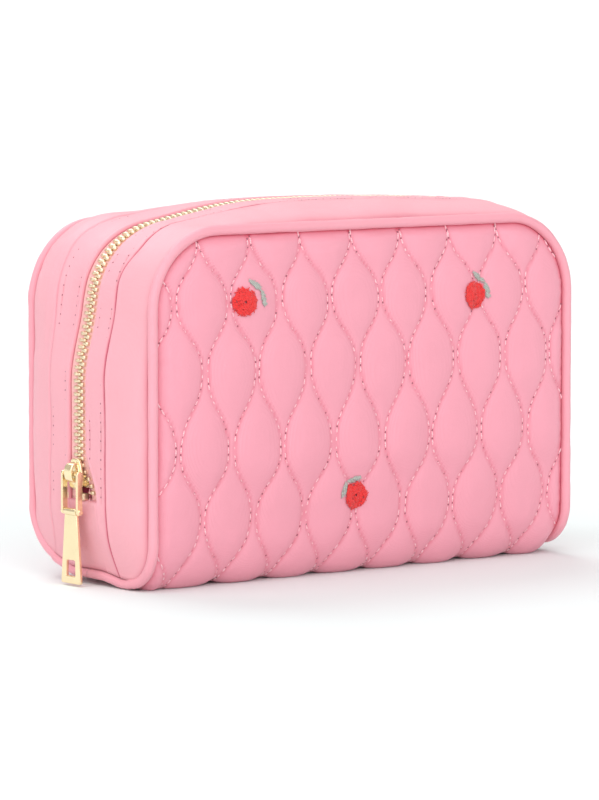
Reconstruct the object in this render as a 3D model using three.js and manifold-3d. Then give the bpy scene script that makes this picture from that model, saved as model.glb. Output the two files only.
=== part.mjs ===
// A soft zip-top makeup bag, modelled as its sewn and metal pieces.
//
// Frame: millimetres, origin on the floor under the middle of the bag. X runs along the bag's
// length, the front wall faces -Y, Z is up. The zip's slider is on the -X end.
//
// One quilted sheet makes the front wall, the bottom and the back wall. A gusset runs up one end,
// over the top and down the other end, and the zip lies along its middle. Piping is sewn all round
// the seam between the sheet and the gusset. Opening the zip lets the front wall tip forward about
// the rounded fold at its foot, so that fold, and the gusset corner beside it, are separate pieces.

import * as THREE from 'three';
import { mergeVertices } from 'three/addons/utils/BufferGeometryUtils.js';
import Module from 'manifold-3d';

const wasm = await Module();
wasm.setup();

// ---- Driving dimensions -------------------------------------------------------------------

const GAP = 0.3;

const bag = {
  halfLength: 112.5,
  halfDepth: 43,
  topZ: 149.4,
  cornerRadius: 33,
  foldCentreY: 27,
  foldCentreZ: 22,
  endLift: 5.5,
};

const piping = { radius: 2.1, sides: 8 };

// Layers of a quilted wall, as depths measured inward from its edge face.
const shell = { outer: 0, inner: 2.8 };
const wadding = { outer: 3.1, inner: 5.4 };
const lining = { outer: 5.7, inner: 6.5 };
const wallCrown = 4.5;

const gusset = {
  bulge: 7.1,
  topRise: 1.36,
  thickness: 3,
  seamY: 18,
  facingEdgeY: 5.2,
  facingRaise: 0.5,
  facingThickness: 0.9,
  splitZ: 35.4,
};

const zip = {
  tapeReach: 15,
  tapeThickness: 0.6,
  tapeLevel: 5.8,
  pitch: 2.8,
  toothReach: 3,
  toothRoot: 1.8,
  toothLevel: 5,
  toothHeight: 2.4,
  stopLength: 3.4,
  spread: 0.8,
  wedgeHalf: 0.6,
};

const slider = {
  lowZ: 41,
  length: 12.5,
  halfWidth: 4.8,
  wing: 1.3,
  lowerLevel: 3.1,
  upperLevel: 7.8,
  crownHeight: 4,
  crownWidth: 3.4,
};

const pull = {
  level: 10.8,
  barZ: 47.1,
  barRadius: 0.9,
  pinZ: 31.3,
  pinRadius: 0.8,
  prongInnerY: 4.7,
  prongOuterY: 6,
  prongDepth: 2.8,
  tabThickness: 1.6,
  tabTopHalf: 4.3,
  tabBottomHalf: 6.3,
  tabLowZ: 1.4,
  slotHalf: 3.3,
  slotLowZ: 4.4,
  slotHighZ: 11,
};

// ---- Materials ----------------------------------------------------------------------------

const colours = {
  satin: 0xf6afbe,
  gussetSatin: 0xfabcc9,
  pipingSatin: 0xf5a6b8,
  wadding: 0xf4f1ea,
  lining: 0xf3c3cd,
  tape: 0xe2a79b,
  brass: 0xc9a25a,
  bloomThread: 0xe2342f,
  leafThread: 0xa9a99a,
};

function finish(name) {
  const metal = name === 'brass';
  return new THREE.MeshStandardMaterial({
    name,
    color: colours[name],
    metalness: metal ? 1 : 0,
    roughness: metal ? 0.3 : 0.65,
  });
}

const group = new THREE.Group();
group.name = 'makeup_bag';

function add(name, geometry, materialName) {
  const mesh = new THREE.Mesh(geometry, finish(materialName));
  mesh.name = name;
  group.add(mesh);
}

// ---- Geometry helpers ---------------------------------------------------------------------

function signedVolume(geometry) {
  const position = geometry.getAttribute('position');
  const index = geometry.getIndex();
  const corner = [new THREE.Vector3(), new THREE.Vector3(), new THREE.Vector3()];
  let volume = 0;
  for (let i = 0; i < index.count; i += 3) {
    corner.forEach((vertex, k) => vertex.fromBufferAttribute(position, index.getX(i + k)));
    volume += corner[0].dot(corner[1].clone().cross(corner[2])) / 6;
  }
  return volume;
}

// Turns every face outward if the body was built inside out.
function faceOutward(geometry) {
  if (signedVolume(geometry) < 0) {
    const index = geometry.getIndex();
    for (let i = 0; i < index.count; i += 3) {
      const first = index.getX(i);
      index.setX(i, index.getX(i + 2));
      index.setX(i + 2, first);
    }
  }
  geometry.computeVertexNormals();
  return geometry;
}

// Joins a row of matching closed rings into one body. outline is the ring's 2-D shape, used to
// fill the two ends.
function loft(rings, outline) {
  const count = rings[0].length;
  const positions = rings.flat().flatMap((point) => [point.x, point.y, point.z]);
  const faces = [];
  for (let ring = 0; ring + 1 < rings.length; ring += 1) {
    for (let i = 0; i < count; i += 1) {
      const next = (i + 1) % count;
      const a = ring * count + i;
      const b = ring * count + next;
      const c = a + count;
      const d = b + count;
      faces.push(a, b, d, a, d, c);
    }
  }
  const last = (rings.length - 1) * count;
  for (const [a, b, c] of THREE.ShapeUtils.triangulateShape(outline, [])) {
    const turned = THREE.ShapeUtils.isClockWise(outline) ? 1 : -1;
    const near = turned > 0 ? [a, b, c] : [a, c, b];
    faces.push(...near);
    faces.push(last + near[0], last + near[2], last + near[1]);
  }
  const geometry = new THREE.BufferGeometry();
  geometry.setAttribute('position', new THREE.Float32BufferAttribute(positions, 3));
  geometry.setIndex(faces);
  return faceOutward(geometry);
}

function circle(radius, sides) {
  const points = [];
  for (let i = 0; i < sides; i += 1) {
    const angle = (2 * Math.PI * i) / sides;
    points.push(new THREE.Vector2(radius * Math.cos(angle), radius * Math.sin(angle)));
  }
  return points;
}

// A round cord along a row of points.
function cord(points, radius, sides) {
  const outline = circle(radius, sides);
  const tangents = points.map((point, i) => {
    const before = points[Math.max(i - 1, 0)];
    const after = points[Math.min(i + 1, points.length - 1)];
    return after.clone().sub(before).normalize();
  });
  const across = new THREE.Vector3(0, 1, 0);
  if (Math.abs(tangents[0].y) > 0.9) {
    across.set(1, 0, 0);
  }
  across.projectOnPlane(tangents[0]).normalize();
  const rings = points.map((point, i) => {
    if (i > 0) {
      const turn = new THREE.Quaternion().setFromUnitVectors(tangents[i - 1], tangents[i]);
      across.applyQuaternion(turn).normalize();
    }
    const other = tangents[i].clone().cross(across);
    return outline.map((p) => point.clone().addScaledVector(across, p.x).addScaledVector(other, p.y));
  });
  return loft(rings, outline);
}

// Extrudes a shape drawn in (Y, Z) along X.
function alongX(shape, lowX, highX) {
  const settings = { depth: highX - lowX, bevelEnabled: false, curveSegments: 8 };
  const geometry = new THREE.ExtrudeGeometry(shape, settings);
  const turn = new THREE.Matrix4().makeBasis(
    new THREE.Vector3(0, 1, 0),
    new THREE.Vector3(0, 0, 1),
    new THREE.Vector3(1, 0, 0),
  );
  return geometry.applyMatrix4(turn).translate(lowX, 0, 0);
}

// Extrudes a shape drawn in (X, Z) along Y.
function alongY(shape, lowY, highY) {
  const settings = { depth: highY - lowY, bevelEnabled: false, curveSegments: 8 };
  const geometry = new THREE.ExtrudeGeometry(shape, settings);
  return geometry.rotateX(Math.PI / 2).translate(0, highY, 0);
}

function toManifold(geometry) {
  const bare = new THREE.BufferGeometry();
  bare.setAttribute('position', geometry.getAttribute('position').clone());
  if (geometry.getIndex()) {
    bare.setIndex(geometry.getIndex().clone());
  }
  const merged = mergeVertices(bare, 1e-4);
  return new wasm.Manifold(new wasm.Mesh({
    numProp: 3,
    vertProperties: new Float32Array(merged.getAttribute('position').array),
    triVerts: new Uint32Array(merged.getIndex().array),
  }));
}

function unite(geometries) {
  const solids = geometries.map(toManifold);
  const whole = solids.slice(1).reduce((sum, solid) => sum.add(solid), solids[0]);
  const mesh = whole.getMesh();
  const geometry = new THREE.BufferGeometry();
  geometry.setAttribute('position', new THREE.Float32BufferAttribute(mesh.vertProperties, 3));
  geometry.setIndex([...mesh.triVerts]);
  geometry.computeVertexNormals();
  return geometry;
}

// ---- The gusset's path and bulge ------------------------------------------------------------

// Stations up the left end, over the top and down the right end. Each holds a point (x, z), the
// outward direction there and how much the bulge swells.
function gussetPath(lowZ) {
  const { halfLength, topZ, cornerRadius } = bag;
  const cornerX = halfLength - cornerRadius;
  const cornerZ = topZ - cornerRadius;
  const cornerSteps = 7;
  const topSteps = 4;
  const stations = [{ x: -halfLength, z: lowZ, outX: -1, outZ: 0, swell: 1 }];
  for (let i = 0; i <= cornerSteps; i += 1) {
    const angle = Math.PI - (i / cornerSteps) * (Math.PI / 2);
    const outX = Math.cos(angle);
    const outZ = Math.sin(angle);
    const x = outX * cornerRadius - cornerX;
    const z = outZ * cornerRadius + cornerZ;
    stations.push({ x, z, outX, outZ, swell: 1 });
  }
  for (let i = 1; i < topSteps; i += 1) {
    const t = i / topSteps;
    const swell = 1 + (gusset.topRise - 1) * Math.sin(Math.PI * t);
    stations.push({ x: cornerX * (2 * t - 1), z: topZ, outX: 0, outZ: 1, swell });
  }
  const leftSide = stations.slice(0, cornerSteps + 2);
  const rightSide = leftSide.map((s) => ({ ...s, x: -s.x, outX: -s.outX })).reverse();
  return stations.concat(rightSide);
}

// How far the gusset stands out at a distance y from the zip's centre line.
function bulgeAt(y) {
  const t = Math.min(Math.abs(y) / (bag.halfDepth - 1), 1);
  return gusset.bulge * Math.pow(1 - Math.pow(t, 3.2), 0.6);
}

// Sets a cross-section, a list of (y, level) points, at each station of the gusset's path.
function ringsAlong(stations, profile) {
  return stations.map((s) => profile.map((p) => {
    const level = p.y + (s.swell - 1) * bulgeAt(p.x);
    return new THREE.Vector3(s.x + s.outX * level, p.x, s.z + s.outZ * level);
  }));
}

function band(profile, lowZ) {
  return loft(ringsAlong(gussetPath(lowZ), profile), profile);
}

// The cross-section between two distances from the centre line. raise lifts it off the bulge
// line, and side is -1 for the front half and 1 for the back half.
function bandProfile(side, outerY, innerY, raise, thickness, steps) {
  const top = [];
  const bottom = [];
  for (let i = 0; i <= steps; i += 1) {
    const y = outerY + ((innerY - outerY) * i) / steps;
    const level = bulgeAt(y) + raise;
    top.push(new THREE.Vector2(side * y, level));
    bottom.unshift(new THREE.Vector2(side * y, level - thickness));
  }
  return top.concat(bottom);
}

function rectangle(lowY, highY, lowLevel, highLevel) {
  return [
    new THREE.Vector2(lowY, lowLevel),
    new THREE.Vector2(highY, lowLevel),
    new THREE.Vector2(highY, highLevel),
    new THREE.Vector2(lowY, highLevel),
  ];
}

// ---- Quilted walls ----------------------------------------------------------------------------

// The outline of a wall in (X, Z), set in from the seam line, standing on lowZ.
function wallOutline(inset, lowZ) {
  const seam = gussetPath(lowZ);
  return seam.map((s) => new THREE.Vector2(s.x - s.outX * inset, s.z - s.outZ * inset));
}

// A flat layer of a wall between two depths behind its edge face.
function wallLayer(side, layer, inset, lowZ) {
  const outline = wallOutline(inset, lowZ);
  const depths = [layer.inner, layer.outer];
  const rings = depths.map((depth) => outline.map(
    (p) => new THREE.Vector3(p.x, side * (bag.halfDepth - depth), p.y),
  ));
  return loft(rings, outline);
}

// The outer layer of a wall, swelling from its seam to a stuffed middle.
function wallShell(side, inset, lowZ) {
  const outline = wallOutline(inset, lowZ);
  const middleZ = (bag.topZ + lowZ) / 2;
  const swelling = [[1, -shell.inner], [1, 0], [0.965, 0.45], [0.9, 0.75], [0.78, 0.94], [0.6, 1]];
  const rings = swelling.map(([size, rise]) => outline.map((p) => {
    const stand = rise < 0 ? rise : rise * wallCrown;
    const z = middleZ + (p.y - middleZ) * size;
    return new THREE.Vector3(p.x * size, side * (bag.halfDepth + stand), z);
  }));
  return loft(rings, outline);
}

// ---- Bottom and folds ---------------------------------------------------------------------------

// How far the sheet lifts off the floor at a distance x along the bag.
function endLift(x) {
  const nearEnd = Math.max(Math.abs(x) - 94, 0) / (bag.halfLength - 94);
  return (bag.endLift - 1) * Math.pow(nearEnd, 2.2);
}

const liftStations = [-1, -0.965, -0.92, -0.86, 0, 0.86, 0.92, 0.965, 1];

// A quarter fold in (Y, Z) from straight down to straight out.
function foldArc(side, depth, lift, fromBelow) {
  const steps = 7;
  const points = [];
  for (let i = 0; i <= steps; i += 1) {
    const angle = -Math.PI / 2 + (i / steps) * (Math.PI / 2);
    const y = bag.foldCentreY + (bag.halfDepth - bag.foldCentreY - depth) * Math.cos(angle);
    const z = bag.foldCentreZ + (bag.foldCentreZ - lift - depth) * Math.sin(angle);
    points.push(new THREE.Vector2(side * y, z));
  }
  return fromBelow ? points : points.reverse();
}

// The bottom and the back fold of one layer, as a section in (Y, Z).
function trayGround(layer, lift) {
  const front = -bag.foldCentreY + GAP / 2;
  return [
    new THREE.Vector2(front, lift + layer.outer),
    ...foldArc(1, layer.outer, lift, true),
    ...foldArc(1, layer.inner, lift, false),
    new THREE.Vector2(front, lift + layer.inner),
  ];
}

function frontFold(layer, lift) {
  return [...foldArc(-1, layer.outer, lift, true), ...foldArc(-1, layer.inner, lift, false)];
}

// Joins a section's shapes at stations along the bag. shift closes or opens its edges in Y.
function alongBag(section, layer, halfLength, clip) {
  const rings = liftStations.map((t) => {
    const x = t * halfLength;
    return section(layer, endLift(x)).map((p) => clip(new THREE.Vector3(x, p.x, p.y)));
  });
  return loft(rings, section(layer, 0));
}

// Keeps a layer clear of the wall above it and of the bottom behind it.
function belowWall(point) {
  point.z = Math.min(point.z, bag.foldCentreZ - GAP / 2);
  return point;
}

function aheadOfBottom(point) {
  point.y = Math.min(point.y, -bag.foldCentreY - GAP / 2);
  return belowWall(point);
}

// ---- Ends of the gusset below the zip ---------------------------------------------------------

// Half the width of the gusset's end at a height, inside the piping.
function endHalfWidth(z) {
  const clear = piping.radius + GAP;
  const rise = bag.foldCentreZ - bag.endLift - clear;
  const reach = bag.halfDepth - bag.foldCentreY - clear;
  const drop = Math.max(bag.foldCentreZ - z, 0) / rise;
  return bag.foldCentreY + reach * Math.sqrt(Math.max(1 - drop * drop, 0));
}

// One piece of the gusset's end between two edges, each a function of height. level sets it in
// from the gusset's face.
function endPiece(side, lowEdge, highEdge, heights, raise, thickness) {
  const steps = 6;
  const rings = heights.map((z) => {
    const low = lowEdge(z);
    const high = highEdge(z);
    const climb = Math.min((z - bag.endLift) / (gusset.splitZ - bag.endLift), 1);
    const fullness = 0.15 + 0.85 * Math.sin(climb * Math.PI / 2);
    const face = [];
    for (let i = 0; i <= steps; i += 1) {
      const y = low + ((high - low) * i) / steps;
      face.push([y, bulgeAt(y) * fullness + raise]);
    }
    const outer = face.map(([y, level]) => new THREE.Vector3(side * (bag.halfLength + level), y, z));
    const inner = face.map(([y, level]) => (
      new THREE.Vector3(side * (bag.halfLength + level - thickness), y, z)
    ));
    return outer.concat(inner.reverse());
  });
  const outline = rings[0].map((point, i) => new THREE.Vector2(
    point.y,
    i <= steps ? thickness : 0,
  ));
  return loft(rings, outline);
}

// The flat cloth inside one end, between its lowest and highest heights.
function endLining(side, heights) {
  const edge = heights.map((z) => new THREE.Vector2(endHalfWidth(z) - 6, z));
  const farEdge = edge.map((p) => new THREE.Vector2(-p.x, p.y)).reverse();
  const face = bag.halfLength - gusset.thickness - 1;
  const shape = new THREE.Shape(edge.concat(farEdge));
  return side > 0 ? alongX(shape, face - 0.8, face) : alongX(shape, -face, 0.8 - face);
}

// ---- Piping -------------------------------------------------------------------------------------

// The cord round a lower corner of an end, stopping short of a quarter turn by a margin in radians
// at each end.
function quarterCord(sideX, sideY, margin) {
  const steps = 7;
  const points = [];
  for (let i = 0; i <= steps; i += 1) {
    const angle = margin + (i / steps) * (Math.PI / 2 - 2 * margin);
    points.push(new THREE.Vector3(
      sideX * bag.halfLength,
      sideY * (bag.foldCentreY + (bag.halfDepth - bag.foldCentreY) * Math.sin(angle)),
      bag.foldCentreZ - (bag.foldCentreZ - bag.endLift) * Math.cos(angle),
    ));
  }
  return points;
}

function upperCord(sideY, lowZ) {
  return gussetPath(lowZ).map((s) => new THREE.Vector3(s.x, sideY * bag.halfDepth, s.z));
}

function backPiping() {
  const foot = (sideX) => new THREE.Vector3(sideX * bag.halfLength, -bag.foldCentreY + GAP / 2, bag.endLift);
  return [
    foot(-1),
    ...quarterCord(-1, 1, 0),
    ...upperCord(1, bag.foldCentreZ + 4),
    ...quarterCord(1, 1, 0).reverse(),
    foot(1),
  ];
}

// ---- Zip ------------------------------------------------------------------------------------------

function zipLevelX(level) {
  return -bag.halfLength - level;
}

// A block drawn in (Y, Z) on the left end, between two levels above the gusset's seam line.
function endBlock(shape, lowLevel, highLevel) {
  return alongX(shape, zipLevelX(highLevel), zipLevelX(lowLevel));
}

// One wing of the slider: its mouth end, at the bottom, is wider than its tail.
function wingShape() {
  const low = slider.lowZ;
  const high = slider.lowZ + slider.length;
  const tail = slider.halfWidth * 0.72;
  const shape = new THREE.Shape();
  shape.moveTo(-slider.halfWidth * 0.8, low);
  shape.lineTo(slider.halfWidth * 0.8, low);
  shape.lineTo(slider.halfWidth, low + 1.2);
  shape.lineTo(slider.halfWidth, low + 5);
  shape.lineTo(tail, high - 1);
  shape.lineTo(tail - 1, high);
  shape.lineTo(-tail + 1, high);
  shape.lineTo(-tail, high - 1);
  shape.lineTo(-slider.halfWidth, low + 5);
  shape.lineTo(-slider.halfWidth, low + 1.2);
  shape.closePath();
  return shape;
}

// The wedge between the wings that parts the teeth.
function wedgeShape() {
  const shape = new THREE.Shape();
  shape.moveTo(0, slider.lowZ + 0.4);
  shape.lineTo(zip.wedgeHalf, slider.lowZ + 2);
  shape.lineTo(0, slider.lowZ + 5.6);
  shape.lineTo(-zip.wedgeHalf, slider.lowZ + 2);
  shape.closePath();
  return shape;
}

function sliderBody() {
  const { lowerLevel, upperLevel, wing } = slider;
  return unite([
    endBlock(wingShape(), lowerLevel, lowerLevel + wing),
    endBlock(wingShape(), upperLevel, upperLevel + wing),
    endBlock(wedgeShape(), lowerLevel + wing / 2, upperLevel + wing / 2),
  ]);
}

// The bridge on the upper wing that holds the connector's bar, drawn in (X, Z).
function sliderCrown() {
  const foot = slider.upperLevel + slider.wing + 0.02;
  const low = pull.barZ - 3.2;
  const high = pull.barZ + 3.2;
  const top = foot + slider.crownHeight;
  const wall = 1;
  const shape = new THREE.Shape();
  shape.moveTo(zipLevelX(foot), low);
  shape.lineTo(zipLevelX(top - 1.4), low);
  shape.lineTo(zipLevelX(top), low + 1.6);
  shape.lineTo(zipLevelX(top), high - 1.6);
  shape.lineTo(zipLevelX(top - 1.4), high);
  shape.lineTo(zipLevelX(foot), high);
  shape.lineTo(zipLevelX(foot), high - wall);
  shape.lineTo(zipLevelX(top - 1.5 - wall / 2), high - wall);
  shape.lineTo(zipLevelX(top - wall), high - 1.6 - wall / 2);
  shape.lineTo(zipLevelX(top - wall), low + 1.6 + wall / 2);
  shape.lineTo(zipLevelX(top - 1.5 - wall / 2), low + wall);
  shape.lineTo(zipLevelX(foot), low + wall);
  shape.closePath();
  return alongY(shape, -slider.crownWidth / 2, slider.crownWidth / 2);
}

const stopLowZ = gusset.splitZ + GAP;
const stopHighZ = stopLowZ + zip.stopLength;

// Evenly spaced stations along a row of stations, by distance.
function resample(stations, spacing) {
  const distances = [0];
  for (let i = 1; i < stations.length; i += 1) {
    const step = Math.hypot(stations[i].x - stations[i - 1].x, stations[i].z - stations[i - 1].z);
    distances.push(distances[i - 1] + step);
  }
  const even = [];
  let span = 0;
  for (let distance = 0; distance <= distances.at(-1); distance += spacing) {
    while (distances[span + 1] < distance) {
      span += 1;
    }
    const t = (distance - distances[span]) / (distances[span + 1] - distances[span]);
    const from = stations[span];
    const to = stations[span + 1];
    const mix = (key) => from[key] + (to[key] - from[key]) * t;
    even.push({ x: mix('x'), z: mix('z'), outX: mix('outX'), outZ: mix('outZ'), swell: mix('swell') });
  }
  return even;
}

// A row of teeth on their bead, drawn in to the centre line above the slider and parted around
// its wedge. Each tooth is one narrow ring at the gap and two wide ones at its faces.
function teethRow(side) {
  const low = zip.toothLevel;
  const high = zip.toothLevel + zip.toothHeight;
  const crossSection = (reachIn, spread) => {
    const near = side * (reachIn + spread);
    const far = side * (zip.toothReach + spread);
    return rectangle(Math.min(near, far), Math.max(near, far), low, high);
  };
  const gap = crossSection(zip.toothRoot, 0);
  const tooth = crossSection(GAP / 2, 0);
  const stations = gussetPath(slider.lowZ + 7);
  stations.at(-1).z = stopHighZ + GAP;
  const rings = resample(stations, zip.pitch / 3).map((station, i) => (
    ringsAlong([station], i % 3 === 0 ? gap : tooth)[0]
  ));
  const parted = [stopHighZ + GAP, slider.lowZ + 3].map((z) => (
    crossSection(GAP / 2, zip.spread).map((p) => new THREE.Vector3(zipLevelX(p.y), p.x, z))
  ));
  return loft([...parted, ...rings], tooth);
}

// A metal stop at the foot of the teeth, between two distances across the zip.
function stop(sideX, lowY, highY) {
  const shape = new THREE.Shape(rectangle(lowY, highY, stopLowZ, stopHighZ));
  const low = bag.halfLength + zip.toothLevel - 0.2;
  const high = bag.halfLength + zip.toothLevel + zip.toothHeight + 0.2;
  return sideX > 0 ? alongX(shape, low, high) : alongX(shape, -high, -low);
}

// ---- Pull -----------------------------------------------------------------------------------------

// A plate prong drawn in (X, Z), round at both ends.
function prongShape() {
  const half = pull.prongDepth / 2;
  const centre = zipLevelX(pull.level);
  const shape = new THREE.Shape();
  shape.absarc(centre, pull.barZ, half, 0, Math.PI, false);
  shape.absarc(centre, pull.pinZ, half, Math.PI, 2 * Math.PI, false);
  shape.closePath();
  return shape;
}

// The U-shaped link: two prongs joined by the bar that passes under the slider's bridge.
function pullConnector() {
  const ends = [[-pull.prongOuterY, -pull.prongInnerY], [pull.prongInnerY, pull.prongOuterY]];
  const prongs = ends.map(([low, high]) => alongY(prongShape(), low, high));
  const barEnds = [-1, 1].map((side) => (
    new THREE.Vector3(zipLevelX(pull.level), side * (pull.prongInnerY + 0.5), pull.barZ)
  ));
  const pinEnds = [-1, 1].map((side) => (
    new THREE.Vector3(zipLevelX(pull.level), side * (pull.prongInnerY + 0.5), pull.pinZ)
  ));
  return unite([
    ...prongs,
    cord(barEnds, pull.barRadius, 12),
    cord(pinEnds, pull.pinRadius, 12),
  ]);
}

// The flat tab, drawn in (Y, Z), with a slot near its foot and a knuckle round the pin.
function pullTab() {
  const shape = new THREE.Shape();
  const shoulder = pull.pinZ - 5.5;
  const corner = 1.4;
  shape.moveTo(-pull.tabBottomHalf + corner, pull.tabLowZ);
  shape.lineTo(pull.tabBottomHalf - corner, pull.tabLowZ);
  shape.lineTo(pull.tabBottomHalf, pull.tabLowZ + corner);
  shape.lineTo(pull.tabTopHalf + 1, shoulder - 1);
  shape.lineTo(pull.tabTopHalf, shoulder);
  shape.lineTo(pull.tabTopHalf, pull.pinZ - 1.2);
  shape.lineTo(-pull.tabTopHalf, pull.pinZ - 1.2);
  shape.lineTo(-pull.tabTopHalf, shoulder);
  shape.lineTo(-pull.tabTopHalf - 1, shoulder - 1);
  shape.lineTo(-pull.tabBottomHalf, pull.tabLowZ + corner);
  shape.closePath();
  const slot = new THREE.Path();
  slot.moveTo(-pull.slotHalf, pull.slotLowZ);
  slot.lineTo(-pull.slotHalf, pull.slotHighZ);
  slot.lineTo(pull.slotHalf, pull.slotHighZ);
  slot.lineTo(pull.slotHalf, pull.slotLowZ);
  slot.closePath();
  shape.holes.push(slot);
  const half = pull.tabThickness / 2;
  const plate = endBlock(shape, pull.level - half, pull.level + half);
  const knuckle = new THREE.Shape();
  knuckle.absarc(zipLevelX(pull.level), pull.pinZ, 1.5, 0, 2 * Math.PI, false);
  const eye = new THREE.Path();
  eye.absarc(zipLevelX(pull.level), pull.pinZ, pull.pinRadius + 0.1, 0, 2 * Math.PI, true);
  knuckle.holes.push(eye);
  return unite([plate, alongY(knuckle, -pull.tabTopHalf, pull.tabTopHalf)]);
}

// ---- Embroidered flowers ----------------------------------------------------------------------------

// Each flower's place on the front wall, with its leaves' offsets from the bloom and their turn.
const flowers = [
  { x: -68.4, z: 119.5, leaves: [[5.5, 6.9, -0.56], [9.6, 1.2, -1.24]] },
  { x: 56.7, z: 116.9, leaves: [[2.6, 7.7, -0.67], [6.8, 2, -1.26]] },
  { x: -7.2, z: 34, leaves: [[-1.4, 7.1, 0.22], [-6.9, 2.8, 1.17]] },
];
const bloomRadius = 5.6;

// A thin raised patch of thread on the front wall.
function patch(x, z, halfWidth, halfHeight, turn) {
  const face = bag.halfDepth + wallCrown + 0.02;
  const base = circle(1, 12).map((p) => {
    const u = p.x * halfWidth;
    const v = p.y * halfHeight;
    return new THREE.Vector2(
      x + u * Math.cos(turn) - v * Math.sin(turn),
      z + u * Math.sin(turn) + v * Math.cos(turn),
    );
  });
  const rings = [[1, 0], [1, 0.5], [0.6, 1.1]].map(([size, stand]) => base.map((p) => (
    new THREE.Vector3(x + (p.x - x) * size, -(face + stand), z + (p.y - z) * size)
  )));
  return loft(rings, base);
}

function addFlower({ x, z, leaves }, number) {
  add(`flower_${number}_bloom`, patch(x, z, bloomRadius, bloomRadius, 0), 'bloomThread');
  leaves.forEach(([offsetX, offsetZ, turn], i) => {
    const leaf = patch(x + offsetX, z + offsetZ, 3.2, 1, turn);
    add(`flower_${number}_leaf_${i + 1}`, leaf, 'leafThread');
  });
}

// ---- Assembly -----------------------------------------------------------------------------------------

const frontLowZ = bag.foldCentreZ + GAP / 2;
const upperLowZ = gusset.splitZ + GAP / 2;
const shellInset = piping.radius + GAP;
const innerInset = shellInset + 0.4;

function addWall(name, side) {
  add(`${name}_quilted_shell`, wallShell(side, shellInset, frontLowZ), 'satin');
  add(`${name}_wadding`, wallLayer(side, wadding, innerInset, frontLowZ), 'wadding');
  add(`${name}_lining`, wallLayer(side, lining, innerInset, frontLowZ), 'lining');
}

function addGussetHalf(name, side) {
  const outerY = bag.halfDepth - piping.radius - GAP;
  const { seamY, facingEdgeY, facingRaise, facingThickness, thickness } = gusset;
  const bandShape = bandProfile(side, outerY, seamY, 0, thickness, 6);
  const facing = bandProfile(side, seamY - GAP, facingEdgeY, facingRaise, facingThickness, 3);
  const liningShape = bandProfile(side, outerY - 4, zip.tapeReach + 0.5, -thickness - GAP, 0.8, 5);
  const tapeEdge = zip.toothReach + zip.spread + GAP;
  const tapeShape = rectangle(
    Math.min(side * zip.tapeReach, side * tapeEdge),
    Math.max(side * zip.tapeReach, side * tapeEdge),
    zip.tapeLevel - zip.tapeThickness,
    zip.tapeLevel,
  );
  add(`${name}_gusset_band`, band(bandShape, upperLowZ), 'gussetSatin');
  add(`${name}_zip_facing`, band(facing, upperLowZ), 'gussetSatin');
  add(`${name}_gusset_lining`, band(liningShape, upperLowZ), 'lining');
  add(`${name}_zip_tape`, band(tapeShape, upperLowZ), 'tape');
  add(`${name}_teeth_row`, teethRow(side), 'brass');
}

function addBottom() {
  const shellHalf = bag.halfLength - shellInset;
  const innerHalf = bag.halfLength - innerInset;
  add('bottom_quilted_shell', alongBag(trayGround, shell, shellHalf, belowWall), 'satin');
  add('bottom_wadding', alongBag(trayGround, wadding, innerHalf, belowWall), 'wadding');
  add('bottom_lining', alongBag(trayGround, lining, innerHalf, belowWall), 'lining');
  add('front_fold_shell', alongBag(frontFold, shell, shellHalf, aheadOfBottom), 'satin');
  add('front_fold_wadding', alongBag(frontFold, wadding, innerHalf, aheadOfBottom), 'wadding');
  add('front_fold_lining', alongBag(frontFold, lining, innerHalf, aheadOfBottom), 'lining');
}

function addEnd(name, side) {
  const highZ = gusset.splitZ - GAP / 2;
  const lowZ = bag.endLift + piping.radius + GAP;
  const heights = [lowZ, lowZ + 1.2, lowZ + 3.4, lowZ + 7, bag.foldCentreZ + 3, highZ];
  const cornerHeights = heights.slice(1);
  const split = bag.foldCentreY;
  const plateLow = () => -split + GAP / 2;
  const cornerHigh = () => -split - GAP / 2;
  const { thickness } = gusset;
  const plate = endPiece(side, plateLow, endHalfWidth, heights, 0, thickness);
  const corner = endPiece(side, (z) => -endHalfWidth(z), cornerHigh, cornerHeights, 0, thickness);
  add(`${name}_end_gusset`, plate, 'gussetSatin');
  add(`${name}_corner_gusset`, corner, 'gussetSatin');
  add(`${name}_end_lining`, endLining(side, heights.slice(2)), 'lining');
  const corded = quarterCord(side, -1, 0.035);
  add(`${name}_corner_piping`, cord(corded, piping.radius, piping.sides), 'pipingSatin');
}

addWall('front', -1);
addWall('back', 1);
addBottom();
addGussetHalf('front', -1);
addGussetHalf('back', 1);
addEnd('left', -1);
addEnd('right', 1);
add('front_piping', cord(upperCord(-1, frontLowZ), piping.radius, piping.sides), 'pipingSatin');
add('back_piping', cord(backPiping(), piping.radius, piping.sides), 'pipingSatin');
add('front_top_stop', stop(-1, -zip.toothReach - zip.spread, -zip.spread), 'brass');
add('back_top_stop', stop(-1, zip.spread, zip.toothReach + zip.spread), 'brass');
add('bottom_stop', stop(1, GAP / 2, zip.toothReach), 'brass');
add('slider_body', sliderBody(), 'brass');
add('slider_crown', sliderCrown(), 'brass');
add('pull_connector', pullConnector(), 'brass');
add('pull_tab', pullTab(), 'brass');
flowers.forEach((flower, i) => addFlower(flower, i + 1));

export default group;
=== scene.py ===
"""The makeup bag's visible model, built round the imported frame.

Pieces are laid out in millimetres in the frame's axes (X along the bag, front wall facing -Y,
Z up) and written to Blender in metres.
"""

import math

import bpy
import numpy as np
from mathutils import Matrix, Vector, noise


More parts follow.
